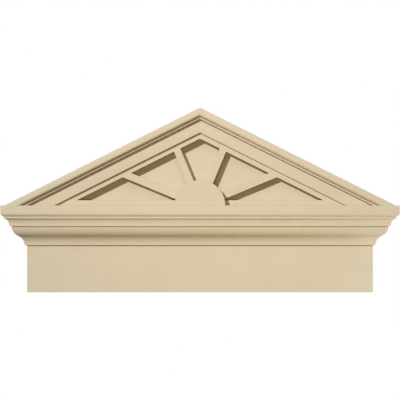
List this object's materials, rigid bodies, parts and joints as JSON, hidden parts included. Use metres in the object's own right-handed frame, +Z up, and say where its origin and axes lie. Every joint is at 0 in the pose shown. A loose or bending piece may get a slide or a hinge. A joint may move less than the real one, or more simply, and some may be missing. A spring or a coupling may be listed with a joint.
{
  "type": "classical pediment",
  "caption": "Classical pediment for a door head: plain frieze board, moulded cornice with mitred returns and a low gable that frames a half sunburst. Fixed flat to a wall.",
  "frame": {"origin": "middle of the frieze board's back face, on the wall", "axes": "+X along the wall to the right as seen from the front, +Y into the wall, +Z up"},
  "size_m": [1.219, 0.0895, 0.5705],
  "materials": {
    "primed_millwork": "cellular PVC millwork, factory primed in a smooth matt cream"
  },
  "bodies": {
    "root": {"frieze_board": "primed_millwork", "bed_moulding": "primed_millwork", "crown_moulding": "primed_millwork", "tympanum_board": "primed_millwork", "sunburst_fret": "primed_millwork", "sunburst_hub": "primed_millwork", "raking_band_left": "primed_millwork", "raking_moulding_left": "primed_millwork", "raking_band_right": "primed_millwork", "raking_moulding_right": "primed_millwork"}
  },
  "joints": []
}
